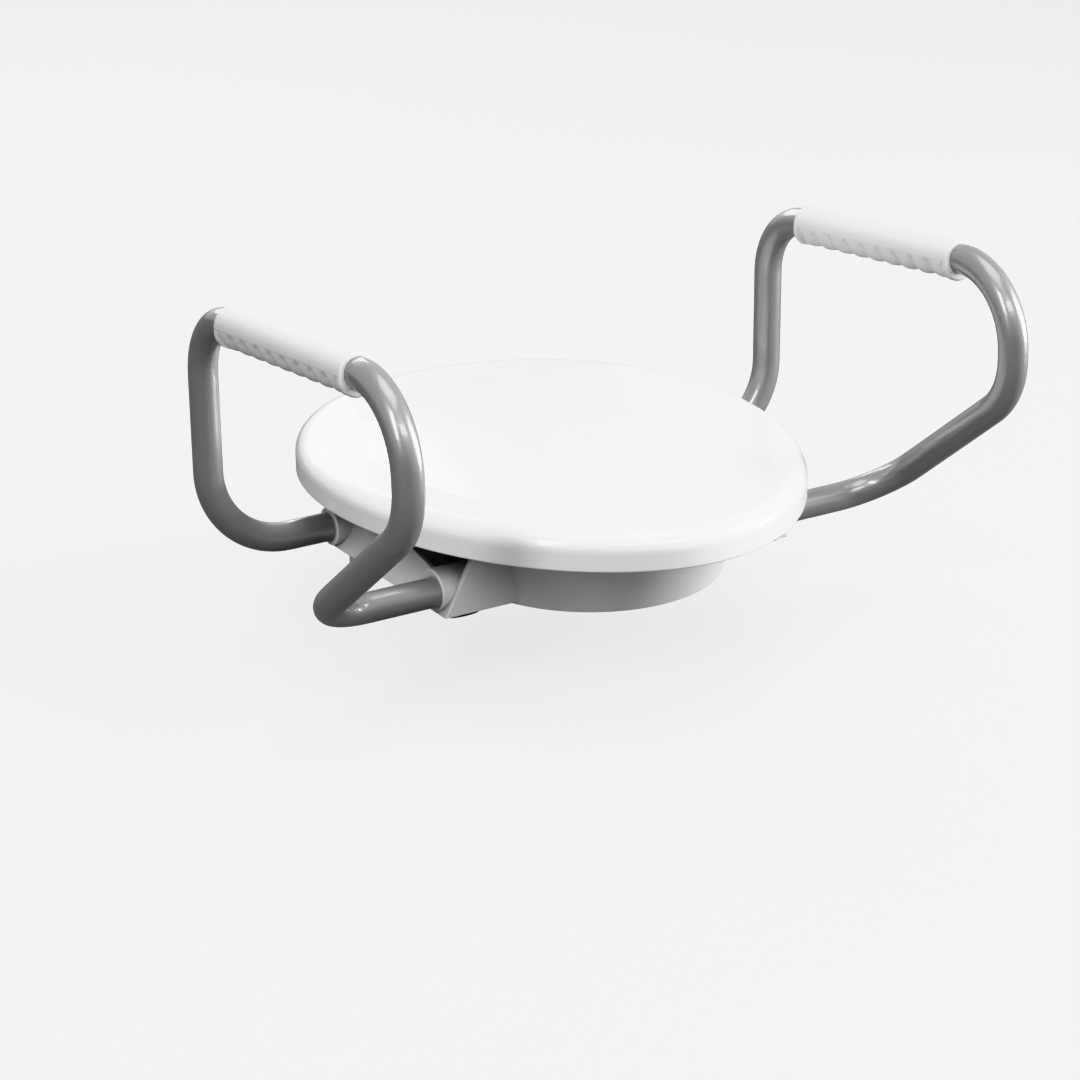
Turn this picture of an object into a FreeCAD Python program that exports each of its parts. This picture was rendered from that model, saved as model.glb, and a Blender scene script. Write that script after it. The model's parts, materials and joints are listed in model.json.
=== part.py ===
import FreeCAD, Part
import math
import os

from FreeCAD import Vector

# A raised toilet seat with arms, in millimetres. The origin is on the plane of the bowl rim's top, midway
# between the two mounting bolts. +Z is up, the front of the seat points to -Y, and the sitter's left is +X.
# Names of the two sides are as seen from the front, so "left" is the -X side.

# Cover
COVER_HALF_WIDTH = 185.0
COVER_FRONT = -412.0
COVER_BACK = 13.0
COVER_WIDEST = -180.0
COVER_FRONT_POWER = 1.9
COVER_BACK_POWER = 2.1
COVER_BOTTOM = 56.0
COVER_EDGE_TOP = 82.5
COVER_CROWN = 88.0
COVER_EDGE_ROUND = 13.0
COVER_LIP_ROUND = 1.5
PANEL_INSET = 38.0
WALL = 4.0

# Seat ring and its opening
RING_INSET = 8.0
RING_TOP = 75.5
RING_BACK = -6.0
RING_ROUND = 9.0
OPENING_HALF_WIDTH = 109.0
OPENING_HALF_LENGTH = 130.0
OPENING_CENTRE = -235.0

# Splash shield, flange and side housings of the riser
SHIELD_RADIUS = 101.7
SHIELD_CENTRE = -241.5
SHIELD_WALL = 3.5
FLANGE_INSET = 9.5
FLANGE_THICK = 3.5
FLANGE_BACK = -18.0
HOUSING_FRONT = -289.0
HOUSING_BACK = -104.0
HOUSING_INNER_X = 80.0
HOUSING_FOOT_X = 152.0
HOUSING_TOP_X = 125.0
HOUSING_CORNER = 1.2
FOOT_HEIGHT = 3.0
FOOT_BLOCK = 9.0
WINDOW_BACK = -178.0
WINDOW_FRONT_SILL = 27.0
WINDOW_LOW_SILL = 24.0
WINDOW_REAR_SILL = 33.0
SOCKET_WALL = 3.7
FRONT_COLLAR_RADIUS = 16.0
FRONT_COLLAR_SETBACK = 2.0
SOCKET_END_X = 107.0
FRONT_MOUTH_X = 152.5
REAR_MOUTH_X = 155.5

# Arms: 7/8 inch tube
TUBE_RADIUS = 11.1
TUBE_WALL = 1.6
SOCKET_PLAY = 0.05
ARM_X = 253.0
LEG_HEIGHT = 19.0
FRONT_LEG_Y = -274.5
REAR_LEG_Y = -120.0
NOSE = (-419.5, 136.0)
FRONT_TOP = (-414.0, 229.0)
REAR_TOP = (-117.0, 203.0)
FRONT_LEG_BEND = 46.0
NOSE_BEND = 52.0
FRONT_TOP_BEND = 58.0
REAR_TOP_BEND = 50.0
REAR_LEG_BEND = 63.0

# Grips
GRIP_RADIUS = 14.2
GRIP_BELLY = 2.2
GRIP_END = 50.5
GRIP_LENGTH = 188.0
GRIP_LIP = 0.8
GRIP_LIP_WIDTH = 5.0
GRIP_LIP_ROUND = 1.5
GRIP_ROUND = 2.0
LOBES = 9
GROOVE_DEPTH = 2.8
GROOVE_RADIUS = 7.0
GROOVE_FADE = 3.0

# Hinges and mounting
BOLT_SPACING = 139.7
PIN_Y = 8.0
PIN_Z = 50.0
PIN_RADIUS = 3.0
PIN_PLAY = 0.05
BARREL_RADIUS = 8.5
COVER_LUG = (46.0, 57.2)
POST = (57.85, 81.85)
RING_LUG = (82.5, 94.2)
PAD_THICK = 1.5
BASE_TOP = 10.0
BOLT_RADIUS = 4.0
BOLT_END = -72.0

BIG = 600.0


def oval(half_width, front, back, widest, height, front_power=2.0, back_power=2.0):
    """A smooth closed outline whose front and back halves are each a quarter-symmetric superellipse."""
    steps = 48
    points = []
    for step in range(steps):
        angle = 2 * math.pi * step / steps
        across = math.cos(angle)
        along = math.sin(angle)
        power = back_power if along > 0 else front_power
        reach = back - widest if along > 0 else widest - front
        x = half_width * math.copysign(abs(across) ** (2 / power), across)
        y = widest + reach * math.copysign(abs(along) ** (2 / power), along)
        points.append(Vector(x, y, height))
    curve = Part.BSplineCurve()
    curve.interpolate(Points=points, PeriodicFlag=True)
    return Part.Wire(curve.toShape())


def cover_outline(inset, height, scale=1.0):
    """The cover's outline drawn in by inset, then scaled about its widest line."""
    front = (COVER_FRONT + inset - COVER_WIDEST) * scale + COVER_WIDEST
    back = (COVER_BACK - inset - COVER_WIDEST) * scale + COVER_WIDEST
    half_width = (COVER_HALF_WIDTH - inset) * scale
    return oval(half_width, front, back, COVER_WIDEST, height, COVER_FRONT_POWER, COVER_BACK_POWER)


def opening_outline(grow, height):
    """The seat opening's outline, grown outwards."""
    length = OPENING_HALF_LENGTH + grow
    return oval(
        OPENING_HALF_WIDTH + grow, OPENING_CENTRE - length, OPENING_CENTRE + length, OPENING_CENTRE, height
    )


def slab(outline, thickness):
    return Part.Face(outline).extrude(Vector(0, 0, thickness))


def box(x, y, z):
    """A box from three (low, high) pairs."""
    return Part.makeBox(x[1] - x[0], y[1] - y[0], z[1] - z[0], Vector(x[0], y[0], z[0]))


def rod_x(radius, x, y, z):
    """A round rod along X between the two values of x."""
    return Part.makeCylinder(radius, x[1] - x[0], Vector(x[0], y, z), Vector(1, 0, 0))


def rod_z(radius, x, y, z):
    """A round rod along Z between the two values of z."""
    return Part.makeCylinder(radius, z[1] - z[0], Vector(x, y, z[0]), Vector(0, 0, 1))


def prism(corners, direction):
    """A straight-sided outline pushed along a direction."""
    return Part.Face(Part.makePolygon(corners + corners[:1])).extrude(direction)


def side_plate(corners, x):
    """A plate whose (y, z) outline runs between two values of X."""
    return prism([Vector(x[0], y, z) for y, z in corners], Vector(x[1] - x[0], 0, 0))


def front_plate(corners, y):
    """A plate whose (x, z) outline runs between two values of Y."""
    return prism([Vector(x, y[0], z) for x, z in corners], Vector(0, y[1] - y[0], 0))


def mirrored(shape):
    """The same shape on the other side of the symmetry plane."""
    return shape.mirror(Vector(0, 0, 0), Vector(1, 0, 0))


def rounded(shape, radius, chosen):
    """Round the edges that the test picks."""
    return shape.makeFillet(radius, [edge for edge in shape.Edges if chosen(edge)])


def at_height(height):
    return lambda edge: abs(edge.BoundBox.ZMin - height) < 0.01 and abs(edge.BoundBox.ZMax - height) < 0.01


def upright(edge):
    return edge.BoundBox.XLength < 0.01 and edge.BoundBox.YLength < 0.01


def at_x(x):
    return lambda edge: abs(edge.BoundBox.XMin - x) < 0.01 and abs(edge.BoundBox.XMax - x) < 0.01


def at_ends(x):
    return lambda edge: at_x(x[0])(edge) or at_x(x[1])(edge)


def rounded_block(x, y, z, radius):
    """A box with round upright corners."""
    return rounded(box(x, y, z), radius, upright)


def pair(shape):
    """A shape and its mirror image as one group."""
    return Part.makeCompound([shape, mirrored(shape)])


def screw(head_radius, head_height, radius, length, x, y, z):
    """A pan-head screw driven upwards: z is the underside of the part it holds."""
    low = z - head_height
    head = rod_z(head_radius, x, y, (low, z))
    head = rounded(head, head_height * 0.45, at_height(low))
    slot = box((x - head_radius, x + head_radius), (y - 0.5, y + 0.5), (low, low + 0.9))
    shank = rod_z(radius, x, y, (z, z + length - radius))
    point = Part.makeCone(radius, 0.4, radius, Vector(x, y, z + length - radius))
    return head.cut(slot).fuse([shank, point]).removeSplitter()


# ---------------------------------------------------------------- cover


def cover_shell(inset, bottom, edge_top, crown, edge_round):
    """A solid with the cover's form: upright side, rounded edge, border band and crowned panel."""
    body = slab(cover_outline(inset, bottom), edge_top - bottom)
    body = rounded(body, edge_round, at_height(edge_top))
    sink = 0.6
    sections = []
    for scale in (1.0, 0.9, 0.75, 0.55, 0.35, 0.18, 0.05):
        height = edge_top - sink + (crown - edge_top + sink) * (1 - scale ** 2)
        sections.append(cover_outline(PANEL_INSET, height, scale))
    return body.fuse(Part.makeLoft(sections, True, False))


def hinge_barrel(x, radius):
    return rod_x(radius, x, PIN_Y, PIN_Z)


def pin_hole(x):
    return hinge_barrel((x[0] - 1, x[1] + 1), PIN_RADIUS + PIN_PLAY)


COVER_BUMPERS = [(149.0, -120.0), (132.0, -290.0)]
COVER_BUMPER_RADIUS = 7.0
COVER_PEG_RADIUS = 2.5
COVER_PEG_TOP = 80.5
CAVITY_TOP = COVER_EDGE_TOP - WALL


def cover():
    outer = cover_shell(0, COVER_BOTTOM, COVER_EDGE_TOP, COVER_CROWN, COVER_EDGE_ROUND)
    outer = rounded(outer, COVER_LIP_ROUND, at_height(COVER_BOTTOM))
    cavity = cover_shell(WALL, COVER_BOTTOM, CAVITY_TOP, COVER_CROWN - WALL, COVER_EDGE_ROUND - WALL)
    shell = outer.cut(cavity)
    web = box(COVER_LUG, (-4.0, 6.0), (COVER_BOTTOM, COVER_EDGE_TOP)).common(outer)
    neck = box(COVER_LUG, (-4.0, 4.0), (PIN_Z, COVER_BOTTOM + 2))
    lug = hinge_barrel(COVER_LUG, BARREL_RADIUS).fuse([web, neck])
    shell = shell.fuse([lug, mirrored(lug)])
    notch = hinge_barrel((COVER_LUG[1] + 0.01, RING_LUG[1] + 0.5), BARREL_RADIUS + 2)
    cuts = [notch, pin_hole(COVER_LUG)]
    for x, y in COVER_BUMPERS:
        cuts.append(rod_z(COVER_PEG_RADIUS + 0.05, x, y, (CAVITY_TOP - 1, COVER_PEG_TOP + 0.3)))
    return shell.cut(cuts + [mirrored(cut) for cut in cuts]).removeSplitter()


def cover_bumpers():
    pads = []
    for x, y in COVER_BUMPERS:
        pad = rod_z(COVER_BUMPER_RADIUS, x, y, (RING_TOP + 0.05, CAVITY_TOP - 0.05))
        pad = rounded(pad, 1.0, at_height(RING_TOP + 0.05))
        peg = rod_z(COVER_PEG_RADIUS, x, y, (CAVITY_TOP - 0.05, COVER_PEG_TOP))
        solid = pad.fuse(peg).removeSplitter()
        pads += [solid, mirrored(solid)]
    return Part.makeCompound(pads)


# ---------------------------------------------------------------- seat ring

RING_SCREWS = 8
SCREW_HEAD_RADIUS = 4.0
RING_SCREW_HALF_WIDTH = 143.0
RING_SCREW_HALF_LENGTH = 150.0
RING_BOSS_RADIUS = 5.0
RING_SCREW_RADIUS = 1.9
RING_SCREW_LENGTH = 13.0
LUG_BLOCK_FRONT = -34.0
# Behind the ring's rear wall the lug steps down to pass under the cover's skirt.
LUG_TOP = PIN_Z + 4.0
LUG_STEP_Y = -16.3


def ring_screw_places():
    """Screw places on an oval between the opening and the ring's outer wall."""
    places = []
    for step in range(RING_SCREWS):
        angle = 2 * math.pi * (step + 0.5) / RING_SCREWS
        x = RING_SCREW_HALF_WIDTH * math.cos(angle)
        places.append((x, OPENING_CENTRE + RING_SCREW_HALF_LENGTH * math.sin(angle)))
    return places


def seat_ring():
    height = RING_TOP - COVER_BOTTOM
    body = slab(cover_outline(RING_INSET, COVER_BOTTOM), height)
    body = rounded(body, RING_ROUND, at_height(RING_TOP))
    opening = slab(opening_outline(0, COVER_BOTTOM - 1), height + 2)
    body = body.cut(opening)
    body = rounded(body, RING_ROUND, lambda edge: at_height(RING_TOP)(edge) and edge.BoundBox.XLength < 300)
    behind = box((-BIG, BIG), (RING_BACK, BIG), (0, BIG))
    body = body.cut(behind)

    hollow = slab(cover_outline(RING_INSET + WALL, COVER_BOTTOM - 1), height - WALL + 1)
    hollow = hollow.cut(slab(opening_outline(WALL, COVER_BOTTOM - 2), height + 2))
    hollow = hollow.cut(box((-BIG, BIG), (RING_BACK - WALL, BIG), (0, BIG)))
    for x, y in ring_screw_places():
        hollow = hollow.cut(rod_z(RING_BOSS_RADIUS, x, y, (0, BIG)))
    body = body.cut(hollow)

    profile = [
        (PIN_Y, PIN_Z - BARREL_RADIUS),
        (LUG_BLOCK_FRONT, PIN_Z - BARREL_RADIUS),
        (LUG_BLOCK_FRONT, COVER_BOTTOM + 4),
        (LUG_STEP_Y, COVER_BOTTOM + 4),
        (LUG_STEP_Y, LUG_TOP),
        (PIN_Y, LUG_TOP),
    ]
    lug = side_plate(profile, RING_LUG).fuse(hinge_barrel(RING_LUG, BARREL_RADIUS))
    body = body.fuse([lug, mirrored(lug)])

    cuts = [pin_hole(RING_LUG), mirrored(pin_hole(RING_LUG))]
    pilot = (COVER_BOTTOM - 1, COVER_BOTTOM + RING_SCREW_LENGTH)
    for x, y in ring_screw_places():
        cuts.append(rod_z(RING_SCREW_RADIUS + 0.03, x, y, pilot))
    return body.cut(cuts).removeSplitter()


def ring_screws():
    sizes = (SCREW_HEAD_RADIUS, 2.4, RING_SCREW_RADIUS, RING_SCREW_LENGTH + 3.0)
    screws = []
    for x, y in ring_screw_places():
        screws.append(screw(*sizes, x, y, COVER_BOTTOM - FLANGE_THICK))
    return Part.makeCompound(screws)


# ---------------------------------------------------------------- riser

SOCKET_RADIUS = TUBE_RADIUS + SOCKET_WALL
FLANGE_BOTTOM = COVER_BOTTOM - FLANGE_THICK
ARM_SCREW_X = 115.0
ARM_SCREW_RADIUS = 2.0
ARM_SCREW_SEAT = 5.5
BUMPER_X = (120.0, 146.5)
FRONT_BUMPER_Y = (-286.5, -263.0)
REAR_BUMPER_Y = (-132.0, -108.0)
PEG_RADIUS = 3.0
PEG_TOP = 6.0
PEG_OFFSETS = (-6.0, 6.0)
LEGS = [(FRONT_LEG_Y, FRONT_MOUTH_X), (REAR_LEG_Y, REAR_MOUTH_X)]
FRONT_COLLAR_Y = HOUSING_FRONT + FRONT_COLLAR_SETBACK + FRONT_COLLAR_RADIUS
SOCKETS = [
    (FRONT_COLLAR_Y, FRONT_COLLAR_RADIUS, FRONT_MOUTH_X),
    (REAR_LEG_Y, SOCKET_RADIUS, REAR_MOUTH_X),
]


def middle(span):
    return (span[0] + span[1]) / 2


def wall_x(height):
    """How far out the sloping outer wall of a side housing is at a height."""
    share = (height - FOOT_HEIGHT) / (FLANGE_BOTTOM - FOOT_HEIGHT)
    return HOUSING_FOOT_X + (HOUSING_TOP_X - HOUSING_FOOT_X) * share


def shield_cone(grow, bottom, top):
    """The tapering body between the round outlet at the rim and the oval seat opening."""
    radius = SHIELD_RADIUS - SHIELD_WALL + grow
    outlet = oval(radius, SHIELD_CENTRE - radius, SHIELD_CENTRE + radius, SHIELD_CENTRE, bottom)
    return Part.makeLoft([outlet, opening_outline(grow, top)], True, True)


def housing_block(inset, y):
    """The form between the shield and the sloping outer wall, drawn in by inset."""
    corners = [
        (HOUSING_INNER_X, FOOT_HEIGHT),
        (HOUSING_FOOT_X - inset, FOOT_HEIGHT),
        (HOUSING_TOP_X - inset, FLANGE_BOTTOM),
        (HOUSING_INNER_X, FLANGE_BOTTOM),
    ]
    return front_plate(corners, y)


def side_housing():
    """The +X side's housing: sloping wall with its window, wings, floor, arm sockets and feet.

    The front socket's collar is thicker than its bore needs, and its front lies just behind the wing's face.
    """
    shell = housing_block(0, (HOUSING_FRONT, HOUSING_BACK))
    slope_height = FLANGE_BOTTOM - FOOT_HEIGHT
    sloping = lambda edge: edge.BoundBox.XLength > 1 and edge.BoundBox.ZLength > slope_height - 0.01
    shell = rounded(shell, HOUSING_CORNER, sloping)
    shell = shell.cut(housing_block(WALL, (HOUSING_FRONT + WALL, HOUSING_BACK - WALL)))
    window = [
        (HOUSING_FRONT + WALL, FLANGE_BOTTOM),
        (HOUSING_FRONT + WALL, WINDOW_FRONT_SILL),
        (FRONT_LEG_Y + SOCKET_RADIUS, WINDOW_LOW_SILL),
        (WINDOW_BACK - 15.0, WINDOW_REAR_SILL),
        (WINDOW_BACK, FLANGE_BOTTOM),
    ]
    shell = shell.cut(side_plate(window, (HOUSING_TOP_X - 20, HOUSING_FOOT_X + 10)))

    floor_x = (HOUSING_INNER_X, wall_x(FOOT_HEIGHT + WALL))
    floor_y = (HOUSING_FRONT + 1, HOUSING_BACK - 1)
    pieces = [box(floor_x, floor_y, (FOOT_HEIGHT, FOOT_HEIGHT + WALL))]
    for socket_y, radius, mouth_x in SOCKETS:
        socket = rod_x(radius, (SOCKET_END_X - WALL, mouth_x), socket_y, LEG_HEIGHT)
        pieces.append(rounded(socket, HOUSING_CORNER, at_x(mouth_x)))
        reach = SOCKET_RADIUS - 2
        foot_x = (SOCKET_END_X - WALL, wall_x(FOOT_HEIGHT + FOOT_BLOCK))
        foot_y = (max(socket_y - reach, HOUSING_FRONT), min(socket_y + reach, HOUSING_BACK))
        pieces.append(box(foot_x, foot_y, (FOOT_HEIGHT, FOOT_HEIGHT + FOOT_BLOCK)))
    stay_y = (REAR_LEG_Y - WALL / 2, REAR_LEG_Y + WALL / 2)
    pieces.append(box((SOCKET_END_X, HOUSING_TOP_X + 5), stay_y, (LEG_HEIGHT, FLANGE_BOTTOM)))
    return shell.fuse(pieces)


def riser():
    flange = slab(cover_outline(FLANGE_INSET, FLANGE_BOTTOM), FLANGE_THICK)
    flange = flange.cut(box((-BIG, BIG), (FLANGE_BACK, BIG), (0, BIG)))
    lug_x = (RING_LUG[0] - 0.5, RING_LUG[1] + 0.5)
    lug_room = box(lug_x, (LUG_BLOCK_FRONT - 0.5, 0), (PIN_Z, COVER_BOTTOM + 1))
    flange = flange.cut([lug_room, mirrored(lug_room)])
    housing = side_housing()
    body = shield_cone(SHIELD_WALL, 0, COVER_BOTTOM).fuse([flange, housing, mirrored(housing)])

    cuts = []
    for leg_y, mouth_x in LEGS:
        cuts.append(rod_x(TUBE_RADIUS + SOCKET_PLAY, (SOCKET_END_X, mouth_x + 1), leg_y, LEG_HEIGHT))
        cuts.append(rod_z(ARM_SCREW_RADIUS + 0.1, ARM_SCREW_X, leg_y, (0, LEG_HEIGHT)))
        cuts.append(rod_z(SCREW_HEAD_RADIUS + 0.6, ARM_SCREW_X, leg_y, (0, ARM_SCREW_SEAT)))
    for bumper_y in (FRONT_BUMPER_Y, REAR_BUMPER_Y):
        for offset in PEG_OFFSETS:
            peg_x = middle(BUMPER_X) + offset
            cuts.append(rod_z(PEG_RADIUS + 0.05, peg_x, middle(bumper_y), (0, PEG_TOP + 0.2)))
    cuts += [mirrored(cut) for cut in cuts]
    for x, y in ring_screw_places():
        cuts.append(rod_z(RING_SCREW_RADIUS + 0.2, x, y, (FLANGE_BOTTOM - 1, COVER_BOTTOM + 1)))
    throat = shield_cone(0, -0.01, COVER_BOTTOM + 0.01)
    return body.cut(cuts + [throat]).removeSplitter()


def rim_bumper(bumper_y):
    """A rubber pad under one arm socket of the +X side, held by two pegs."""
    pad = rounded_block(BUMPER_X, bumper_y, (0, FOOT_HEIGHT - 0.05), 5.0)
    pegs = []
    for offset in PEG_OFFSETS:
        x = middle(BUMPER_X) + offset
        pegs.append(rod_z(PEG_RADIUS, x, middle(bumper_y), (FOOT_HEIGHT - 0.05, PEG_TOP)))
    return pad.fuse(pegs).removeSplitter()


# ---------------------------------------------------------------- arms


def rounded_path(points, radii):
    """A wire of straight runs joined by arcs, one radius for each inner corner."""
    runs = []
    start = points[0]
    for before, corner, after, radius in zip(points, points[1:], points[2:], radii):
        back = (before - corner).normalize()
        ahead = (after - corner).normalize()
        half_angle = back.getAngle(ahead) / 2
        reach = radius / math.tan(half_angle)
        first = corner + back * reach
        last = corner + ahead * reach
        bisector = (back + ahead).normalize()
        middle_point = corner + bisector * (radius / math.sin(half_angle) - radius)
        runs.append(Part.makeLine(start, first))
        runs.append(Part.Arc(first, middle_point, last).toShape())
        start = last
    runs.append(Part.makeLine(start, points[-1]))
    return Part.Wire(runs)


def arm_path(end_x):
    """The centre line of the +X arm, from its front leg's end round to its rear leg's end."""
    corners = [
        Vector(end_x, FRONT_LEG_Y, LEG_HEIGHT),
        Vector(ARM_X, FRONT_LEG_Y, LEG_HEIGHT),
        Vector(ARM_X, *NOSE),
        Vector(ARM_X, *FRONT_TOP),
        Vector(ARM_X, *REAR_TOP),
        Vector(ARM_X, REAR_LEG_Y, LEG_HEIGHT),
        Vector(end_x, REAR_LEG_Y, LEG_HEIGHT),
    ]
    bends = [FRONT_LEG_BEND, NOSE_BEND, FRONT_TOP_BEND, REAR_TOP_BEND, REAR_LEG_BEND]
    return rounded_path(corners, bends)


def swept_rod(end_x, radius):
    start = Vector(end_x, FRONT_LEG_Y, LEG_HEIGHT)
    ring = Part.Wire(Part.makeCircle(radius, start, Vector(1, 0, 0)))
    return arm_path(end_x).makePipeShell([ring], True, True)


PLUG_FLANGE = 1.5
TUBE_END_X = SOCKET_END_X + PLUG_FLANGE + 0.5


def arm_tube():
    tube = swept_rod(TUBE_END_X, TUBE_RADIUS)
    bore = swept_rod(TUBE_END_X - 1, TUBE_RADIUS - TUBE_WALL)
    holes = []
    for leg_y, _ in LEGS:
        holes.append(rod_z(ARM_SCREW_RADIUS + 0.03, ARM_SCREW_X, leg_y, (0, LEG_HEIGHT)))
    return tube.cut([bore] + holes)


def arm_plugs():
    plugs = []
    for leg_y, _ in LEGS:
        flange = rod_x(TUBE_RADIUS - 0.2, (TUBE_END_X - PLUG_FLANGE, TUBE_END_X - 0.02), leg_y, LEG_HEIGHT)
        stem = rod_x(TUBE_RADIUS - TUBE_WALL - 0.05, (TUBE_END_X - 0.02, TUBE_END_X + 3.0), leg_y, LEG_HEIGHT)
        plugs.append(flange.fuse(stem).removeSplitter())
    return Part.makeCompound(plugs)


def arm_screws():
    sizes = (SCREW_HEAD_RADIUS, 2.2, ARM_SCREW_RADIUS, 8.0)
    screws = []
    for leg_y, _ in LEGS:
        screws.append(screw(*sizes, ARM_SCREW_X, leg_y, ARM_SCREW_SEAT))
    return Part.makeCompound(screws)


def sleeve(drop, x):
    """A solid run of the grip along X, from its round top to a round underside lowered by drop."""
    radius = GRIP_RADIUS
    top = Part.Arc(Vector(x[0], -radius, 0), Vector(x[0], 0, radius), Vector(x[0], radius, 0))
    underside = Part.Arc(
        Vector(x[0], radius, -drop), Vector(x[0], 0, -drop - radius), Vector(x[0], -radius, -drop)
    )
    sides = [
        Part.makeLine(Vector(x[0], radius, 0), Vector(x[0], radius, -drop)),
        Part.makeLine(Vector(x[0], -radius, -drop), Vector(x[0], -radius, 0)),
    ]
    outline = Part.Wire([top.toShape(), sides[0], underside.toShape(), sides[1]])
    return Part.Face(outline).extrude(Vector(x[1] - x[0], 0, 0))


def grip():
    """The +X arm's grip: a sleeve with finger lobes underneath and a collar under each end.

    It is made along +X with its top towards +Z, then laid on the arm's top run. Each groove between two lobes
    is a ring-shaped cut whose centre lies above the sleeve's, so it is deepest underneath and fades out up
    the sides.
    """
    body = sleeve(GRIP_BELLY, (0, GRIP_LENGTH))
    body = rounded(body, GRIP_ROUND, at_ends((0, GRIP_LENGTH)))
    pitch = (GRIP_LENGTH - 2 * GRIP_LIP_WIDTH) / LOBES
    ring_radius = GRIP_RADIUS + GROOVE_FADE - GROOVE_DEPTH + GROOVE_RADIUS
    grooves = []
    for step in range(LOBES + 1):
        centre = Vector(GRIP_LIP_WIDTH + pitch * step, 0, GROOVE_FADE - GRIP_BELLY)
        grooves.append(Part.makeTorus(ring_radius, GROOVE_RADIUS, centre, Vector(1, 0, 0)))
    body = body.cut(grooves)
    for end in (0, GRIP_LENGTH - GRIP_LIP_WIDTH):
        span = (end, end + GRIP_LIP_WIDTH)
        body = body.fuse(rounded(sleeve(GRIP_BELLY + GRIP_LIP, span), GRIP_LIP_ROUND, at_ends(span)))
    body = body.cut(rod_x(TUBE_RADIUS + SOCKET_PLAY, (-1, GRIP_LENGTH + 1), 0, 0))

    rear = Vector(ARM_X, *REAR_TOP)
    front = Vector(ARM_X, *FRONT_TOP)
    along = (front - rear).normalize()
    tilt = math.degrees(math.asin(along.z))
    turn = FreeCAD.Rotation(Vector(0, 0, 1), -90) * FreeCAD.Rotation(Vector(0, 1, 0), -tilt)
    body.Placement = FreeCAD.Placement(rear + along * GRIP_END, turn)
    return body


# ---------------------------------------------------------------- hinges and mounting


def hinge_post():
    """The +X hinge post: a foot with a T slot for the bolt, and a column up to the pin."""
    centre = BOLT_SPACING / 2
    foot = rounded_block((centre - 15, centre + 15), (-17.0, 12.0), (PAD_THICK, BASE_TOP), 5.0)
    foot = rounded(foot, 1.5, at_height(BASE_TOP))
    profile = [
        (-12.0, PAD_THICK),
        (-12.0, 41.0),
        (-6.0, PIN_Z + 3.0),
        (PIN_Y, PIN_Z + 3.0),
        (PIN_Y, PIN_Z - 4.0),
        (2.0, 38.0),
        (2.0, PAD_THICK),
    ]
    column = side_plate(profile, POST)
    post = foot.fuse([column, hinge_barrel(POST, BARREL_RADIUS)])
    shank_slot = box((centre - 4.3, centre + 4.3), (-4.3, 20.0), (0, 4.0))
    head_slot = box((centre - 6.7, centre + 6.7), (-7.6, 20.0), (4.0, BASE_TOP - 0.5))
    post = post.cut([shank_slot, head_slot])
    return post.cut(hinge_barrel((POST[0] - 1, POST[1] + 1), PIN_RADIUS + 0.02)).removeSplitter()


def hinge_pad():
    centre = BOLT_SPACING / 2
    pad = rounded_block((centre - 15, centre + 15), (-17.0, 12.0), (0, PAD_THICK - 0.02), 5.0)
    return pad.cut(rod_z(BOLT_RADIUS * math.sqrt(2) + 0.3, centre, 0, (-1, 3)))


PIN_END_X = 43.5
CLIP_X = (44.6, 45.5)
PIN_GROOVE_RADIUS = 2.3


def hinge_pin():
    pin = hinge_barrel((PIN_END_X, RING_LUG[1] + 0.4), PIN_RADIUS)
    head = hinge_barrel((RING_LUG[1] + 0.3, RING_LUG[1] + 2.5), 5.0)
    head = rounded(head, 0.8, lambda edge: edge.BoundBox.XMin > RING_LUG[1] + 2.4)
    groove = hinge_barrel(CLIP_X, PIN_RADIUS + 1).cut(hinge_barrel(CLIP_X, PIN_GROOVE_RADIUS))
    return pin.fuse(head).cut(groove).removeSplitter()


def hinge_clip():
    """A push-on clip in the pin's groove, open at the front."""
    clip = hinge_barrel((CLIP_X[0] + 0.05, CLIP_X[1] - 0.05), 5.5)
    clip = clip.cut(hinge_barrel(CLIP_X, PIN_GROOVE_RADIUS + 0.03))
    mouth = box(CLIP_X, (PIN_Y - 10, PIN_Y), (PIN_Z - 1.9, PIN_Z + 1.9))
    return clip.cut(mouth)


def hexagon(across_flats, x, y, z):
    """A hexagonal prism along Z with two of its flats facing along X."""
    radius = across_flats / math.sqrt(3)
    corners = []
    for step in range(6):
        angle = math.pi / 3 * (step + 0.5)
        corners.append(Vector(x + radius * math.cos(angle), y + radius * math.sin(angle), z[0]))
    return prism(corners, Vector(0, 0, z[1] - z[0]))


HEAD_FLATS = 13.0
HEAD_BOTTOM = 4.1
HEAD_TOP = 9.4
THREAD_RADIUS = 3.8
BUSHING_TOP = -22.0
BUSHING_HEIGHT = 14.0
WASHER_THICK = 1.6
NUT_HEIGHT = 6.5
NUT_CHAMFER_HEIGHT = 4.0


def mounting_bolt():
    """A bolt whose square neck can't turn in the post's slot; the plain shank fills the bowl's hole."""
    centre = BOLT_SPACING / 2
    head = hexagon(HEAD_FLATS, centre, 0, (HEAD_BOTTOM, HEAD_TOP))
    neck = box((centre - BOLT_RADIUS, centre + BOLT_RADIUS), (-BOLT_RADIUS, BOLT_RADIUS), (0, HEAD_BOTTOM))
    shank = rod_z(BOLT_RADIUS, centre, 0, (BUSHING_TOP, 0))
    thread = rod_z(THREAD_RADIUS, centre, 0, (BOLT_END, BUSHING_TOP))
    thread = rounded(thread, 1.0, at_height(BOLT_END))
    return head.fuse([neck, shank, thread]).removeSplitter()


def bolt_bushing():
    """A tapered rubber bushing that centres the bolt in the bowl's hole from below."""
    centre = BOLT_SPACING / 2
    taper = Part.makeCone(12.0, 6.5, BUSHING_HEIGHT, Vector(centre, 0, BUSHING_TOP - BUSHING_HEIGHT))
    return taper.cut(rod_z(BOLT_RADIUS + 0.1, centre, 0, (BOLT_END, 0)))


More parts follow.
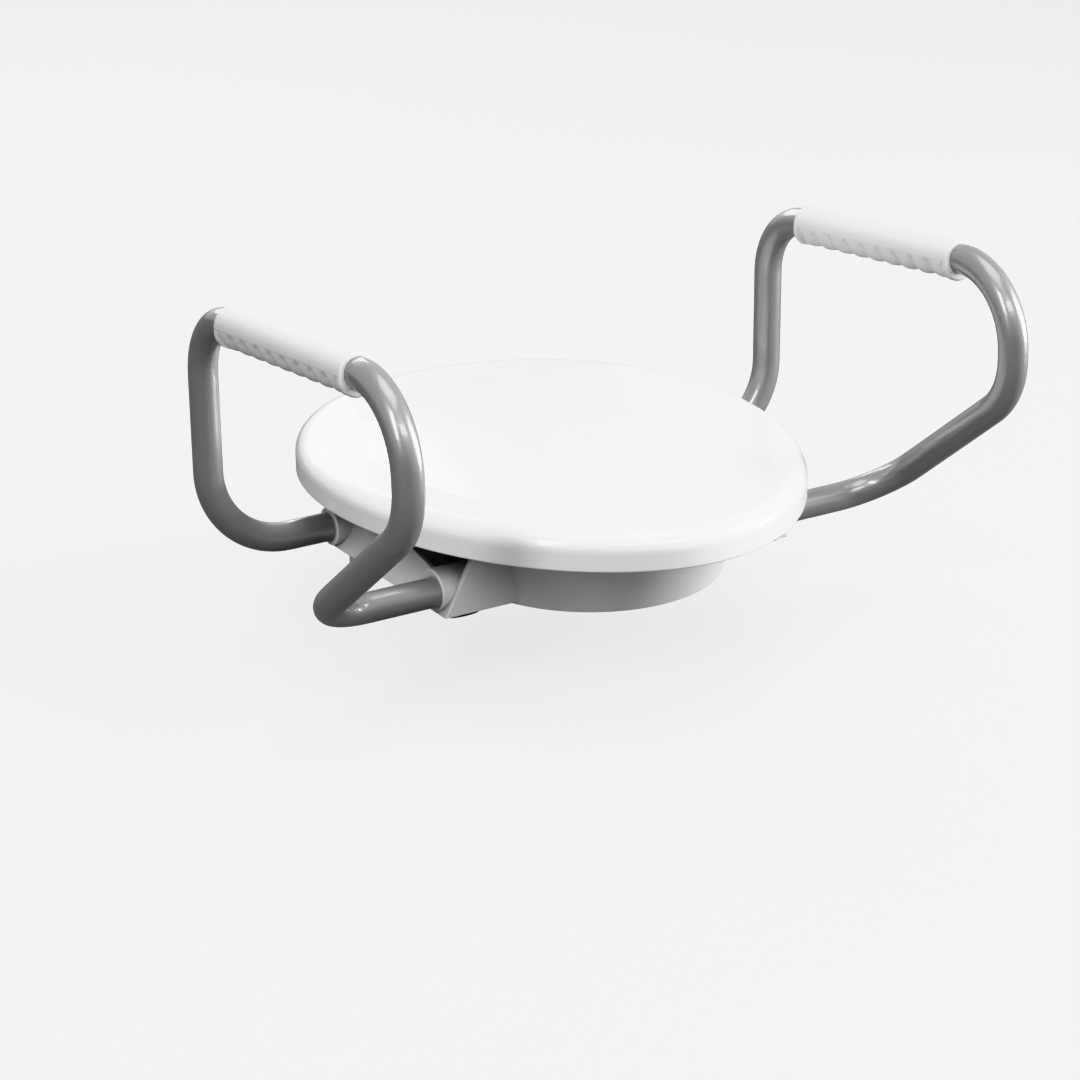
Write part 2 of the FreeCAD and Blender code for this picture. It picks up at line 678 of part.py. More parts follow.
WASHER_TOP = BUSHING_TOP - BUSHING_HEIGHT - 0.02
NUT_TOP = WASHER_TOP - WASHER_THICK - 0.02


def washer():
    centre = BOLT_SPACING / 2
    disc = rod_z(11.0, centre, 0, (WASHER_TOP - WASHER_THICK, WASHER_TOP))
    return disc.cut(rod_z(BOLT_RADIUS + 0.2, centre, 0, (BOLT_END, 0)))


def nut():
    """A hexagonal nut with a chamfered lower face."""
    centre = BOLT_SPACING / 2
    bottom = NUT_TOP - NUT_HEIGHT
    face_radius = HEAD_FLATS / 2 - 0.1
    corner_radius = face_radius + NUT_CHAMFER_HEIGHT
    chamfer = Part.makeCone(face_radius, corner_radius, NUT_CHAMFER_HEIGHT, Vector(centre, 0, bottom))
    envelope = chamfer.fuse(rod_z(corner_radius, centre, 0, (bottom + NUT_CHAMFER_HEIGHT, NUT_TOP)))
    body = hexagon(HEAD_FLATS, centre, 0, (bottom, NUT_TOP)).common(envelope)
    return body.cut(rod_z(THREAD_RADIUS + 0.03, centre, 0, (BOLT_END, 0)))


# ---------------------------------------------------------------- all nodes


def both_sides(nodes, name, shape):
    nodes["right_" + name] = shape
    nodes["left_" + name] = mirrored(shape)


def build():
    nodes = {
        "cover": cover(),
        "cover_bumpers": cover_bumpers(),
        "seat_ring": seat_ring(),
        "riser": riser(),
        "ring_screws": ring_screws(),
        "hinge_clips": pair(hinge_clip()),
        "bolt_washers": pair(washer()),
    }
    both_sides(nodes, "front_bumper", rim_bumper(FRONT_BUMPER_Y))
    both_sides(nodes, "rear_bumper", rim_bumper(REAR_BUMPER_Y))
    both_sides(nodes, "arm_tube", arm_tube())
    both_sides(nodes, "grip", grip())
    both_sides(nodes, "tube_plugs", arm_plugs())
    both_sides(nodes, "arm_screws", arm_screws())
    both_sides(nodes, "hinge_post", hinge_post())
    both_sides(nodes, "hinge_pad", hinge_pad())
    both_sides(nodes, "hinge_pin", hinge_pin())
    both_sides(nodes, "mounting_bolt", mounting_bolt())
    both_sides(nodes, "bolt_bushing", bolt_bushing())
    both_sides(nodes, "bolt_nut", nut())
    return nodes


os.makedirs("parts", exist_ok=True)
for node, shape in build().items():
    shape.exportStep("parts/" + node + ".step")
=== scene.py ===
import json
import math

import bpy
from mathutils import Matrix, Vector


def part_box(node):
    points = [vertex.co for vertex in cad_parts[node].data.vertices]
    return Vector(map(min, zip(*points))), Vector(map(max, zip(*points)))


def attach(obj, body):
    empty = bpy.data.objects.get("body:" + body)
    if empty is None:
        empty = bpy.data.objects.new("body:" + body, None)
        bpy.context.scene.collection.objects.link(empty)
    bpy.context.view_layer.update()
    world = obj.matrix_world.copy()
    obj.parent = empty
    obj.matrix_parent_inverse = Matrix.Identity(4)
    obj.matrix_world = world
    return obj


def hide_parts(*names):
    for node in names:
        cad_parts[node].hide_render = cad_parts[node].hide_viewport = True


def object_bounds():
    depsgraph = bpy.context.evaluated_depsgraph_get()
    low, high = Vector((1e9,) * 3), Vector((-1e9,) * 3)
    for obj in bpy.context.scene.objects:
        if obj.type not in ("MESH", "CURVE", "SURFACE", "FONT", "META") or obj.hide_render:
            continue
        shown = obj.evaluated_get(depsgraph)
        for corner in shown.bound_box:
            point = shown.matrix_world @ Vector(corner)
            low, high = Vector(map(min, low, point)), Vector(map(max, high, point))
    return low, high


# Looks of a raised toilet seat with arms, in metres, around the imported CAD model. The front faces -Y.

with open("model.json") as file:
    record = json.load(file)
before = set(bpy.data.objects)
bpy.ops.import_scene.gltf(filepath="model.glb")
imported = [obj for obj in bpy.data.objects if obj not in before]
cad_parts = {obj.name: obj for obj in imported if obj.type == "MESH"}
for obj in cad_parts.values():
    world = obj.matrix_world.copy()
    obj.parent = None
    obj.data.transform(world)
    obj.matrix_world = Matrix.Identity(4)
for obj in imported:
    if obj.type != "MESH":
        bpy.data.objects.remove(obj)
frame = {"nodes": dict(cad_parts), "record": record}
cad_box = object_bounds()
scene = bpy.context.scene
scene.view_settings.view_transform = "Khronos PBR Neutral"
scene.view_settings.look = "None"
scene.view_settings.exposure = 0.28


# ---------------------------------------------------------------- material tools

# Noise seldom leaves this range.
NOISE_LOW = 0.3
NOISE_HIGH = 0.7
# Cosine between the true normal and the softened one where an edge counts as fully worn.
WORN_COSINE = 0.85


class Material:
    """A node material with one Principled shader, and short ways to add detail to it."""

    def __init__(self, name, **values):
        self.material = bpy.data.materials.new(name)
        self.material.use_nodes = True
        self.nodes = self.material.node_tree.nodes
        self.links = self.material.node_tree.links
        self.shader = self.nodes["Principled BSDF"]
        self.place = self.nodes.new("ShaderNodeTexCoord").outputs["Object"]
        self.normal = None
        for key, value in values.items():
            self.shader.inputs[key.replace("_", " ")].default_value = value

    def stretched(self, scale):
        """Object coordinates scaled along each axis."""
        node = self.nodes.new("ShaderNodeMapping")
        node.inputs["Scale"].default_value = scale
        self.links.new(self.place, node.inputs["Vector"])
        return node.outputs["Vector"]

    def noise(self, scale, detail=2.0, place=None):
        """Noise with features about 1 / scale metres across."""
        node = self.nodes.new("ShaderNodeTexNoise")
        node.inputs["Scale"].default_value = scale
        node.inputs["Detail"].default_value = detail
        self.links.new(place or self.place, node.inputs["Vector"])
        return node.outputs["Fac"]

    def cells(self, scale):
        """Small rounded cells, like leather grain, about 1 / scale metres across."""
        node = self.nodes.new("ShaderNodeTexVoronoi")
        node.inputs["Scale"].default_value = scale
        self.links.new(self.place, node.inputs["Vector"])
        return node.outputs["Distance"]

    def ramp(self, value, low, high, start=0.0, end=1.0):
        """A value mapped from low..high to start..end, and held outside that."""
        node = self.nodes.new("ShaderNodeMapRange")
        for key, number in zip(("From Min", "From Max", "To Min", "To Max"), (low, high, start, end)):
            node.inputs[key].default_value = number
        self.links.new(value, node.inputs["Value"])
        return node.outputs["Result"]

    def patches(self, scale, detail, start, end, place=None):
        """Noise spread over the values start..end."""
        return self.ramp(self.noise(scale, detail, place), NOISE_LOW, NOISE_HIGH, start, end)

    def combined(self, operation, first, second):
        """Two values, or a value and a plain number, put through one maths operation."""
        node = self.nodes.new("ShaderNodeMath")
        node.operation = operation
        for socket, value in zip(node.inputs, (first, second)):
            if isinstance(value, (int, float)):
                socket.default_value = value
            else:
                self.links.new(value, socket)
        return node.outputs["Value"]

    def colour(self, factor, first, second, goal="Base Color"):
        """A colour input, blended between two colours by a factor."""
        node = self.nodes.new("ShaderNodeMix")
        node.data_type = "RGBA"
        node.inputs["A"].default_value = (*first, 1)
        node.inputs["B"].default_value = (*second, 1)
        self.links.new(factor, node.inputs["Factor"])
        self.links.new(node.outputs["Result"], self.shader.inputs[goal])

    def rough(self, value):
        self.links.new(value, self.shader.inputs["Roughness"])

    def bevel(self, radius):
        """Round the look of hard edges by this radius."""
        node = self.nodes.new("ShaderNodeBevel")
        node.samples = 6
        node.inputs["Radius"].default_value = radius
        self.normal = node.outputs["Normal"]
        self.links.new(self.normal, self.shader.inputs["Normal"])

    def bump(self, height, depth, strength=1.0):
        """Relief of a given depth in metres, laid over any relief added before."""
        node = self.nodes.new("ShaderNodeBump")
        node.inputs["Strength"].default_value = strength
        node.inputs["Distance"].default_value = depth
        self.links.new(height, node.inputs["Height"])
        if self.normal:
            self.links.new(self.normal, node.inputs["Normal"])
        self.normal = node.outputs["Normal"]
        self.links.new(self.normal, self.shader.inputs["Normal"])

    def edge_wear(self, radius):
        """0 on flat surfaces, rising on sharp convex and concave edges."""
        node = self.nodes.new("ShaderNodeBevel")
        node.samples = 4
        node.inputs["Radius"].default_value = radius
        plain = self.nodes.new("ShaderNodeNewGeometry").outputs["Normal"]
        dot = self.nodes.new("ShaderNodeVectorMath")
        dot.operation = "DOT_PRODUCT"
        self.links.new(node.outputs["Normal"], dot.inputs[0])
        self.links.new(plain, dot.inputs[1])
        return self.ramp(dot.outputs["Value"], 1.0, WORN_COSINE)

    def recess(self, distance):
        """1 out in the open, falling towards 0 in corners and recesses."""
        node = self.nodes.new("ShaderNodeAmbientOcclusion")
        node.samples = 8
        node.inputs["Distance"].default_value = distance
        return node.outputs["AO"]


def grey(level):
    """A neutral colour with a trace of warmth."""
    return (level, level, level * 0.994)


# ---------------------------------------------------------------- materials


def white_gloss():
    """Glossy moulded seat plastic: faint clouding, slight orange peel and patches dulled by cleaning."""
    look = Material("white_gloss", Coat_Weight=0.4, Coat_Roughness=0.05, Specular_IOR_Level=0.5)
    look.colour(look.noise(14.0, 4.0), grey(0.82), grey(0.84))
    look.rough(look.patches(40.0, 5.0, 0.18, 0.23))
    look.bump(look.noise(420.0, 2.0), 0.00002, 0.5)
    look.bump(look.noise(30.0, 1.0), 0.0003, 0.05)
    return look.material


def white_satin():
    """Satin moulded plastic with a fine grain and slightly rubbed edges, and painted shade that darkens its
    colour deep in its recesses.
    """
    look = Material("white_satin", Specular_IOR_Level=0.45)
    wear = look.edge_wear(0.0012)
    cloud = look.patches(18.0, 5.0, -0.06, 0.06)
    # Painted shade: ambient occlusion darkens the base colour towards grey 0.28 in corners and recesses,
    # standing in for the shade that falls there.
    painted_recess_shade = look.ramp(look.recess(0.05), 0.25, 0.9)
    look.colour(look.combined("ADD", painted_recess_shade, cloud), grey(0.28), grey(0.72))
    base = look.patches(60.0, 4.0, 0.38, 0.47)
    look.rough(look.combined("SUBTRACT", base, look.combined("MULTIPLY", wear, 0.08)))
    look.bevel(0.0011)
    look.bump(look.noise(1500.0, 2.0), 0.00004, 0.5)
    look.bump(look.noise(45.0, 2.0), 0.0004, 0.12)
    return look.material


def grey_paint():
    """Gloss grey paint on steel tube: fine metal fleck, slight orange peel, patches dulled by hands."""
    look = Material("grey_paint", Metallic=0.35, Coat_Weight=0.6, Coat_Roughness=0.04)
    fleck = look.ramp(look.noise(2600.0, 1.0), 0.35, 0.65)
    look.colour(fleck, grey(0.25), grey(0.29))
    look.rough(look.patches(25.0, 3.0, 0.30, 0.36))
    look.bump(look.noise(300.0, 2.0), 0.00002, 0.25)
    return look.material


def grip_vinyl():
    """Matt white vinyl with a leather-like grain, dulled where hands rub it."""
    look = Material("grip", Specular_IOR_Level=0.35, Subsurface_Weight=0.06, Subsurface_Scale=0.002)
    look.colour(look.noise(35.0, 5.0), grey(0.69), grey(0.75))
    look.rough(look.patches(50.0, 4.0, 0.50, 0.64))
    look.bump(look.cells(900.0), 0.00005, 0.5)
    look.bump(look.noise(2500.0, 2.0), 0.00003, 0.4)
    return look.material


def grey_rubber():
    """Matt moulded rubber with bloom and dust in its texture."""
    look = Material("grey_rubber", Specular_IOR_Level=0.3)
    look.colour(look.noise(120.0, 6.0), grey(0.045), grey(0.085))
    look.rough(look.patches(200.0, 4.0, 0.66, 0.85))
    look.bump(look.noise(1800.0, 3.0), 0.00008, 0.6)
    return look.material


def black_plastic():
    """Plain black moulded plastic with a fine grain."""
    look = Material("black_plastic", Specular_IOR_Level=0.4)
    look.colour(look.noise(150.0, 3.0), grey(0.012), grey(0.022))
    look.rough(look.patches(300.0, 3.0, 0.42, 0.55))
    look.bump(look.noise(1500.0, 2.0), 0.00005, 0.4)
    return look.material


def steel():
    """Stainless fasteners with fine turning marks."""
    look = Material("steel", Metallic=1.0)
    look.colour(look.noise(250.0, 4.0), grey(0.52), grey(0.62))
    look.rough(look.patches(900.0, 3.0, 0.29, 0.42, look.stretched((1, 1, 9))))
    look.bevel(0.0003)
    look.bump(look.noise(1200.0, 2.0, look.stretched((1, 1, 12))), 0.00003, 0.4)
    return look.material


LOOKS = {
    "white_gloss": white_gloss(),
    "white_satin": white_satin(),
    "grey_paint": grey_paint(),
    "grip": grip_vinyl(),
    "grey_rubber": grey_rubber(),
    "black_plastic": black_plastic(),
    "steel": steel(),
}
SLOT_OF = {part["node"]: part["material_slot"] for part in frame["record"]["subparts"]}
BODIES = frame["record"]["behaviour"]["bodies"]
BODY_OF = {node: body for body, nodes in BODIES.items() for node in nodes}

for name, node in frame["nodes"].items():
    node.data.materials.clear()
    node.data.materials.append(LOOKS[SLOT_OF[name]])


# ---------------------------------------------------------------- mesh tools

SHARP_ANGLE = math.radians(40)


class Mesh:
    """Vertices and faces of one piece, gathered from several closed skins."""

    def __init__(self):
        self.vertices = []
        self.faces = []

    def wall(self, rows, closed):
        """Faces between neighbouring rings of points, and from the last ring to the first if closed."""
        first = len(self.vertices)
        columns = len(rows[0])
        for ring in rows:
            self.vertices.extend(ring)
        for row in range(len(rows) if closed else len(rows) - 1):
            low = first + row * columns
            high = first + (row + 1) % len(rows) * columns
            for column in range(columns):
                beside = (column + 1) % columns
                self.faces.append((low + column, low + beside, high + beside, high + column))

    def skin(self, rows):
        """A closed skin over rings of points, the last of which joins the first."""
        self.wall(rows, closed=True)

    def capped(self, rows):
        """A skin over rings of points whose first and last rings are filled by flat faces."""
        first = len(self.vertices)
        self.wall(rows, closed=False)
        last = len(self.vertices) - len(rows[-1])
        self.faces.append(tuple(reversed(range(first, first + len(rows[0])))))
        self.faces.append(tuple(range(last, len(self.vertices))))

    def finish(self, name, node, replace=True):
        """A smooth-shaded piece that rides and is finished like a CAD node, and may stand for it."""
        mesh = bpy.data.meshes.new(name)
        mesh.from_pydata(self.vertices, [], self.faces)
        mesh.validate()
        mesh.update()
        mesh.shade_smooth()
        mesh.set_sharp_from_angle(angle=SHARP_ANGLE)
        piece = bpy.data.objects.new(name, mesh)
        scene.collection.objects.link(piece)
        mesh.materials.append(LOOKS[SLOT_OF[node]])
        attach(piece, BODY_OF[node])
        if replace:
            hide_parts(node)


def circle(centre, radius, height, columns=64):
    """A level ring of points at the given height."""
    points = []
    for column in range(columns):
        angle = 2 * math.pi * column / columns
        x = centre.x + radius * math.cos(angle)
        y = centre.y + radius * math.sin(angle)
        points.append(Vector((x, y, height)))
    return points


def arc_steps(radius, steps=5):
    """Pairs (drawn in, raised) along a quarter round from a flat end face to an upright side."""
    pairs = []
    for step in range(steps + 1):
        angle = math.pi / 2 * step / steps
        pairs.append((radius * (1 - math.sin(angle)), radius * (1 - math.cos(angle))))
    return pairs


def smooth_step(value, low, high):
    """0 up to low, 1 from high on, and an even S between them."""
    share = min(max((value - low) / (high - low), 0.0), 1.0)
    return share * share * (3 - 2 * share)


# ---------------------------------------------------------------- grips

# The axis of an arm's top run goes through these two corners, at ARM_X on either side.
ARM_X = 0.253
ARM_TOP_REAR = Vector((0.0, -0.117, 0.203))
ARM_TOP_FRONT = Vector((0.0, -0.414, 0.229))
GRIP_START = 0.0505
GRIP_LENGTH = 0.188
GRIP_RADIUS = 0.0142
GRIP_BELLY = 0.0022
GRIP_BORE = 0.01116
GRIP_LOBES = 9
GRIP_COLLAR = 0.005
COLLAR_STEP = 0.0007
LOBE_DEPTH = 0.0036
LOBE_FULLNESS = 2.2
# The lobes reach full depth where the skin faces this far down: 1 is straight down.
LOBES_FULL = 0.5
SEAM_HEIGHT = 0.00018
SEAM_WIDTH = 0.0004
END_ROUND = 0.0022
END_ROWS = 8
# The bore's straight run has two more rings, this share of the length in from each end.
BORE_RING = 0.02
GRIP_COLUMNS = 144
GRIP_ROWS = 378


def grip_skin(angle, along):
    """How far the grip's skin is from the tube's axis. The angle is 0 on top and pi underneath."""
    down = -math.cos(angle)
    lower = GRIP_BELLY * down + math.sqrt(GRIP_RADIUS ** 2 - GRIP_BELLY ** 2 * (1 - down * down))
    radius = max(GRIP_RADIUS, lower) if down > 0 else GRIP_RADIUS
    underside = smooth_step(down, 0.0, LOBES_FULL)
    place = (along - GRIP_COLLAR) / (GRIP_LENGTH - 2 * GRIP_COLLAR) * GRIP_LOBES
    if 0 < place < GRIP_LOBES:
        across = 2 * (place % 1.0) - 1
        radius -= LOBE_DEPTH * underside * abs(across) ** LOBE_FULLNESS
    else:
        radius += COLLAR_STEP * underside
    from_end = min(along, GRIP_LENGTH - along)
    if from_end < END_ROUND:
        radius -= END_ROUND - math.sqrt(END_ROUND ** 2 - (END_ROUND - from_end) ** 2)
    seam = abs(math.cos(angle)) * radius
    return radius + SEAM_HEIGHT * math.exp(-(seam / SEAM_WIDTH) ** 2)


def grip(side, name):
    """A moulded sleeve: finger lobes underneath, a collar at each end, a mould seam on each side."""
    rear = Vector((side * ARM_X, ARM_TOP_REAR.y, ARM_TOP_REAR.z))
    along_arm = (ARM_TOP_FRONT - ARM_TOP_REAR).normalized()
    above = Vector((0, along_arm.z, -along_arm.y))
    outward = Vector((1, 0, 0))
    start = rear + along_arm * GRIP_START

    def ring(place, reach):
        """Points round the tube's axis, at the distance that reach gives for each angle."""
        points = []
        for column in range(GRIP_COLUMNS):
            angle = 2 * math.pi * column / GRIP_COLUMNS
            turn = above * math.cos(angle) + outward * math.sin(angle)
            points.append(start + along_arm * place + turn * reach(angle, place))
        return points

    stations = [drawn for drawn, _ in reversed(arc_steps(END_ROUND, END_ROWS))]
    step = (GRIP_LENGTH - 2 * END_ROUND) / GRIP_ROWS
    stations += [END_ROUND + step * row for row in range(1, GRIP_ROWS)]
    stations += [GRIP_LENGTH - drawn for drawn, _ in arc_steps(END_ROUND, END_ROWS)]
    rows = [ring(place, grip_skin) for place in stations]
    for place in (GRIP_LENGTH, GRIP_LENGTH * (1 - BORE_RING), GRIP_LENGTH * BORE_RING, 0.0):
        rows.append(ring(place, lambda angle, along: GRIP_BORE))
    sleeve = Mesh()
    sleeve.skin(rows)
    sleeve.finish(name + "_sleeve", name)


for side, label in ((1, "right"), (-1, "left")):
    grip(side, label + "_grip")


# ---------------------------------------------------------------- rubber pieces

BOLT_X = 0.06985
RUBBER_CORNER = 0.005
RUBBER_EDGE = 0.0008
PAD_COLUMNS = 96
# A higher power squares the plan of a pad more.
PAD_SQUARENESS = 10
SHARPEST_CORNER = 0.0002

PAD_TOP = 0.00295
PAD_TOP_EDGE = 0.0002
PEG_RADIUS = 0.003
PEG_OFFSET = 0.006
PEG_CHAMFER = 0.0005
PEG_COLUMNS = 32

PAD_HOLE = 0.00596
PAD_EDGE_SHARE = 3

BUSHING_BORE = 0.0041
BUSHING_TOP_RADIUS = 0.0065
BUSHING_TOP_CHAMFER = 0.0004
BUSHING_SHOULDER = 0.0006
BUSHING_ROWS = 40
BUSHING_WAVES = 2.5
BUSHING_GROOVE = 0.0003

THREAD_CORE = 0.00382
THREAD_CREST = 0.0040
THREAD_ROOT = 0.0004
THREAD_PITCH = 0.00125
THREAD_FLANKS = (0.15, 0.85)
THREAD_TOP = -0.0225
THREAD_TIP = 0.0012
THREAD_COLUMNS = 40
ROWS_PER_PITCH = 8

COVER_BUMPER_PLACES = ((0.149, -0.120), (0.132, -0.290))
COVER_BUMPER_RADIUS = 0.007
COVER_BUMPER_PEG = 0.0025
COVER_BUMPER_CHAMFER = 0.0003
COVER_PEG_LENGTH = 0.00205
DOME_HEIGHT = 0.0016
# Just under 1, so that the dome's side doesn't stand upright at its rim.
DOME_FULLNESS = 0.98
DOME_ROWS = 10
DOME_COLUMNS = 48


def pad_outline(low, high, inset, height):
    """A box's plan with round corners, drawn in by inset, as points at even angles round its middle."""
    half = Vector(((high.x - low.x) / 2 - inset, (high.y - low.y) / 2 - inset))
    middle = (low + high) / 2
    round_by = max(RUBBER_CORNER - inset, SHARPEST_CORNER)
    core = Vector((half.x - round_by, half.y - round_by))
    points = []
    for column in range(PAD_COLUMNS):
        angle = 2 * math.pi * column / PAD_COLUMNS
        turn = Vector((math.cos(angle), math.sin(angle)))
        reach = abs(turn.x) ** PAD_SQUARENESS + abs(turn.y) ** PAD_SQUARENESS
        share = reach ** (-1 / PAD_SQUARENESS)
        square = Vector((turn.x * share * core.x, turn.y * share * core.y))
        x = middle.x + square.x + turn.x * round_by
        y = middle.y + square.y + turn.y * round_by
        points.append(Vector((x, y, height)))
    return points


def rim_bumper(node):
    """A rubber pad with rounded edges and two pegs that push into the foot above it."""
    low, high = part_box(node)
    pad = Mesh()
    rows = [pad_outline(low, high, drawn, low.z + raised) for drawn, raised in arc_steps(RUBBER_EDGE)]
    rows.append(pad_outline(low, high, 0.0, PAD_TOP - PAD_TOP_EDGE))
    rows.append(pad_outline(low, high, PAD_TOP_EDGE, PAD_TOP))
    pad.capped(rows)
    middle = (low + high) / 2
    for side in (-1, 1):
        centre = Vector((middle.x + side * PEG_OFFSET, middle.y, 0))
        rings = [
            (PEG_RADIUS, PAD_TOP),
            (PEG_RADIUS, high.z - PEG_CHAMFER),
            (PEG_RADIUS - PEG_CHAMFER, high.z),
        ]
        pad.capped([circle(centre, radius, height, PEG_COLUMNS) for radius, height in rings])
    pad.finish(node + "_pad", node)


def bolt_centre(box_corner):
    """The axis of the mounting bolt on the same side as a point."""
    return Vector((math.copysign(BOLT_X, box_corner.x), 0, 0))


def hinge_pad(node):
    """A thin rubber pad with a hole for the bolt."""
    low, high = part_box(node)
    hole = bolt_centre((low + high) / 2)
    rounds = arc_steps((high.z - low.z) / PAD_EDGE_SHARE, 3)
    rows = [pad_outline(low, high, drawn, low.z + raised) for drawn, raised in rounds]
    rows += [pad_outline(low, high, drawn, high.z - raised) for drawn, raised in reversed(rounds)]
    rows += [circle(hole, PAD_HOLE, height, PAD_COLUMNS) for height in (high.z, low.z)]
    pad = Mesh()
    pad.skin(rows)
    pad.finish(node + "_rubber", node)


def bolt_bushing(node):
    """A tapered rubber bushing with a rounded rim and two moulded rings round it."""
    low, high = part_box(node)
    centre = bolt_centre(low)
    height = high.z - low.z
    wide = (high.x - low.x) / 2
    rows = [circle(centre, wide - drawn, low.z + raised) for drawn, raised in arc_steps(RUBBER_EDGE)]
    for step in range(1, BUSHING_ROWS):
        share = step / BUSHING_ROWS
        wave = max(math.sin(share * 2 * math.pi * BUSHING_WAVES), 0.0)
        groove = BUSHING_GROOVE * wave * smooth_step(share, 0.0, 0.1)
        z = low.z + RUBBER_EDGE + (height - RUBBER_EDGE - BUSHING_SHOULDER) * share
        taper = (z - low.z) / height
        rows.append(circle(centre, wide + (BUSHING_TOP_RADIUS - wide) * taper - groove, z))
    rows.append(circle(centre, BUSHING_TOP_RADIUS - BUSHING_TOP_CHAMFER, high.z))
    rows.append(circle(centre, BUSHING_BORE, high.z))
    rows.append(circle(centre, BUSHING_BORE, low.z))
    bushing = Mesh()
    bushing.skin(rows)
    bushing.finish(node + "_rubber", node)


def bolt_thread(node):
    """The rolled thread that stands out from a mounting bolt's threaded run."""
    low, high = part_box(node)
    centre = bolt_centre(low)
    bottom = low.z + THREAD_TIP
    steps = int((THREAD_TOP - bottom) / THREAD_PITCH * ROWS_PER_PITCH)
    rows = []
    for row in range(steps + 1):
        height = bottom + (THREAD_TOP - bottom) * row / steps
        fade = smooth_step(min(height - bottom, THREAD_TOP - height), 0.0, THREAD_PITCH)
        ring = []
        for column in range(THREAD_COLUMNS):
            share = column / THREAD_COLUMNS
            phase = (height / THREAD_PITCH - share) % 1.0
            ridge = smooth_step(1 - abs(2 * phase - 1), *THREAD_FLANKS)
            radius = THREAD_CORE + (THREAD_CREST - THREAD_CORE) * ridge * fade
            angle = 2 * math.pi * share
            ring.append(centre + Vector((radius * math.cos(angle), radius * math.sin(angle), height)))
        rows.append(ring)
    inner = THREAD_CORE - THREAD_ROOT
    rows += [circle(centre, inner, height, THREAD_COLUMNS) for height in (THREAD_TOP, bottom)]
    thread = Mesh()
    thread.skin(rows)
    thread.finish(node + "_thread", node, replace=False)


def cover_bumpers(node):
    """Four domed stops under the cover, each with a peg."""
    low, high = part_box(node)
    shoulder = high.z - COVER_PEG_LENGTH
    stops = Mesh()
    for side in (-1, 1):
        for x, y in COVER_BUMPER_PLACES:
            rings = []
            for step in range(DOME_ROWS):
                share = (step + 1) / DOME_ROWS
                dome = DOME_HEIGHT * (1 - math.sqrt(1 - DOME_FULLNESS * share * share))
                rings.append((COVER_BUMPER_RADIUS * share, low.z + dome))
            rings.append((COVER_BUMPER_RADIUS, shoulder - COVER_BUMPER_CHAMFER))
            rings.append((COVER_BUMPER_RADIUS - COVER_BUMPER_CHAMFER, shoulder))
            rings.append((COVER_BUMPER_PEG, shoulder))
            rings.append((COVER_BUMPER_PEG, high.z))
            centre = Vector((side * x, y, 0))
            stops.capped([circle(centre, radius, height, DOME_COLUMNS) for radius, height in rings])
    stops.finish("cover_stops", node)


for label in ("right", "left"):
    rim_bumper(label + "_front_bumper")
    rim_bumper(label + "_rear_bumper")
    hinge_pad(label + "_hinge_pad")
    bolt_bushing(label + "_bolt_bushing")
    bolt_thread(label + "_mounting_bolt")
cover_bumpers("cover_bumpers")


# ---------------------------------------------------------------- floor, light and camera

FLOOR_SIZE = 60
FLOOR_DROP = 0.0005
SEAT = (0, -0.2, 0.05)

# Grey levels of the studio: its diffuse fill, what reflections see, and what the camera sees.
FILL = (0.20, 0.20, 0.20, 1)
BRIGHT_REFLECTION = (0.66, 0.66, 0.66, 1)
DARK_REFLECTION = (0.01, 0.01, 0.01, 1)
BACKDROP = (0.93, 0.93, 0.93, 1)
# Reflections darken as they turn this way, between the two cosines.
DARK_SIDE = Vector((-0.42, -0.80, -0.43))
DARK_FROM = 0.45
DARK_FULL = 0.95

CAMERA_AZIMUTH = math.radians(-32.11)
CAMERA_ELEVATION = math.radians(21.53)
CAMERA_PLACE = (-1.1114, -1.9445, 0.8181)
LENS_MM = 97.0
SENSOR_MM = 36.0


def floor():
    """A wide pale floor. To the camera it glows a little, so it stays even; it throws less light back up."""
    bpy.ops.mesh.primitive_plane_add(size=FLOOR_SIZE, location=(0, 0, cad_box[0].z - FLOOR_DROP))
    plane = bpy.context.object
    plane.name = "floor"
    look = Material("floor", Roughness=0.8, Specular_IOR_Level=0.1, Emission_Strength=1.0)
    path = look.nodes.new("ShaderNodeLightPath").outputs["Is Camera Ray"]
    look.colour(path, grey(0.17), grey(0.24))
    look.colour(path, grey(0.0), grey(0.62), "Emission Color")
    plane.data.materials.append(look.material)


def softbox(name, place, size, power):
    """A rectangular lamp aimed at the seat."""
    light = bpy.data.lights.new(name, "AREA")
    light.shape = "RECTANGLE"
    light.size, light.size_y = size
    light.energy = power
    lamp = bpy.data.objects.new(name, light)
    lamp.location = place
    lamp.rotation_euler = (Vector(SEAT) - Vector(place)).to_track_quat("-Z", "Y").to_euler()
    scene.collection.objects.link(lamp)


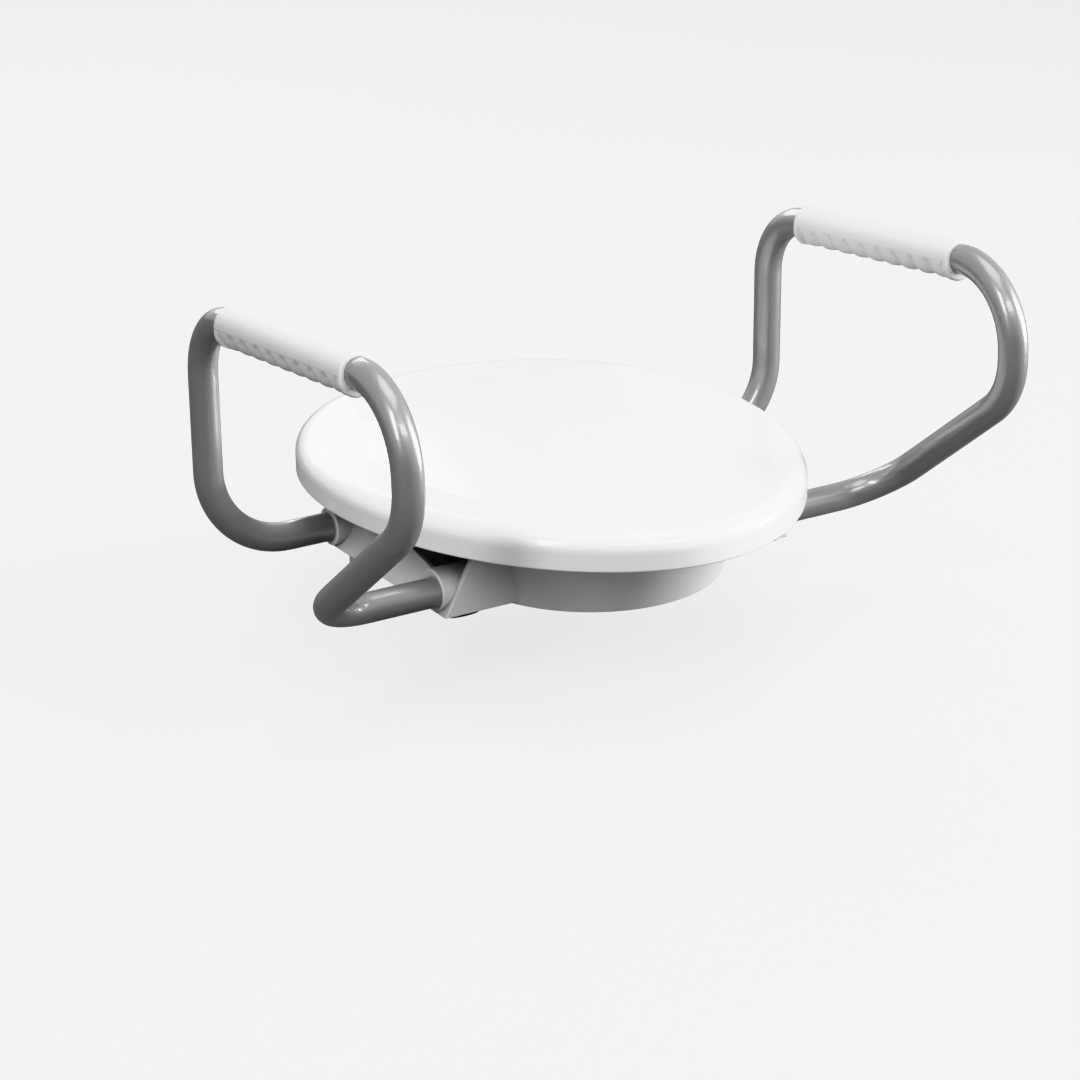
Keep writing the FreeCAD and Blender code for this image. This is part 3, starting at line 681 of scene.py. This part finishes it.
def studio_world():
    """Soft fill for diffuse light. Reflections see a studio dark on the viewer's side, bright elsewhere."""
    world = bpy.data.worlds.new("studio")
    scene.world = world
    world.use_nodes = True
    nodes = world.node_tree.nodes
    links = world.node_tree.links
    path = nodes.new("ShaderNodeLightPath")

    def mixed(factor):
        """A colour mix driven by one kind of ray."""
        node = nodes.new("ShaderNodeMix")
        node.data_type = "RGBA"
        links.new(path.outputs[factor], node.inputs["Factor"])
        return node

    towards = nodes.new("ShaderNodeVectorMath")
    towards.operation = "DOT_PRODUCT"
    towards.inputs[1].default_value = DARK_SIDE
    links.new(nodes.new("ShaderNodeTexCoord").outputs["Generated"], towards.inputs[0])
    ramp = nodes.new("ShaderNodeValToRGB")
    links.new(towards.outputs["Value"], ramp.inputs["Fac"])
    bright, dark = ramp.color_ramp.elements
    bright.position = DARK_FROM
    bright.color = BRIGHT_REFLECTION
    dark.position = DARK_FULL
    dark.color = DARK_REFLECTION

    glossy = mixed("Is Glossy Ray")
    glossy.inputs["A"].default_value = FILL
    links.new(ramp.outputs["Color"], glossy.inputs["B"])
    seen = mixed("Is Camera Ray")
    seen.inputs["B"].default_value = BACKDROP
    links.new(glossy.outputs["Result"], seen.inputs["A"])
    links.new(seen.outputs["Result"], nodes["Background"].inputs["Color"])


def camera():
    """A camera with no roll, looking down on the front and the sitter's right side."""
    level = math.cos(CAMERA_ELEVATION)
    back = Vector((
        math.sin(CAMERA_AZIMUTH) * level,
        -math.cos(CAMERA_AZIMUTH) * level,
        math.sin(CAMERA_ELEVATION),
    ))
    right = Vector((math.cos(CAMERA_AZIMUTH), math.sin(CAMERA_AZIMUTH), 0))
    data = bpy.data.cameras.new("camera")
    data.lens = LENS_MM
    data.sensor_width = SENSOR_MM
    eye = bpy.data.objects.new("camera", data)
    turn = Matrix((right, back.cross(right), back)).transposed().to_4x4()
    eye.matrix_world = Matrix.Translation(CAMERA_PLACE) @ turn
    scene.collection.objects.link(eye)
    scene.camera = eye


floor()
softbox("key", (2.3, -1.5, 1.3), (1.2, 1.0), 38)
softbox("low_right", (2.4, -1.2, 0.35), (0.5, 0.5), 54)
softbox("front", (-0.2, -2.1, 1.8), (1.6, 0.5), 15)
softbox("top", (0.1, -0.4, 2.5), (2.0, 1.6), 26)
softbox("left", (-1.8, -1.3, 1.6), (0.4, 1.2), 24)
softbox("back", (0.3, 2.3, 1.4), (1.8, 1.0), 22)
studio_world()
camera()
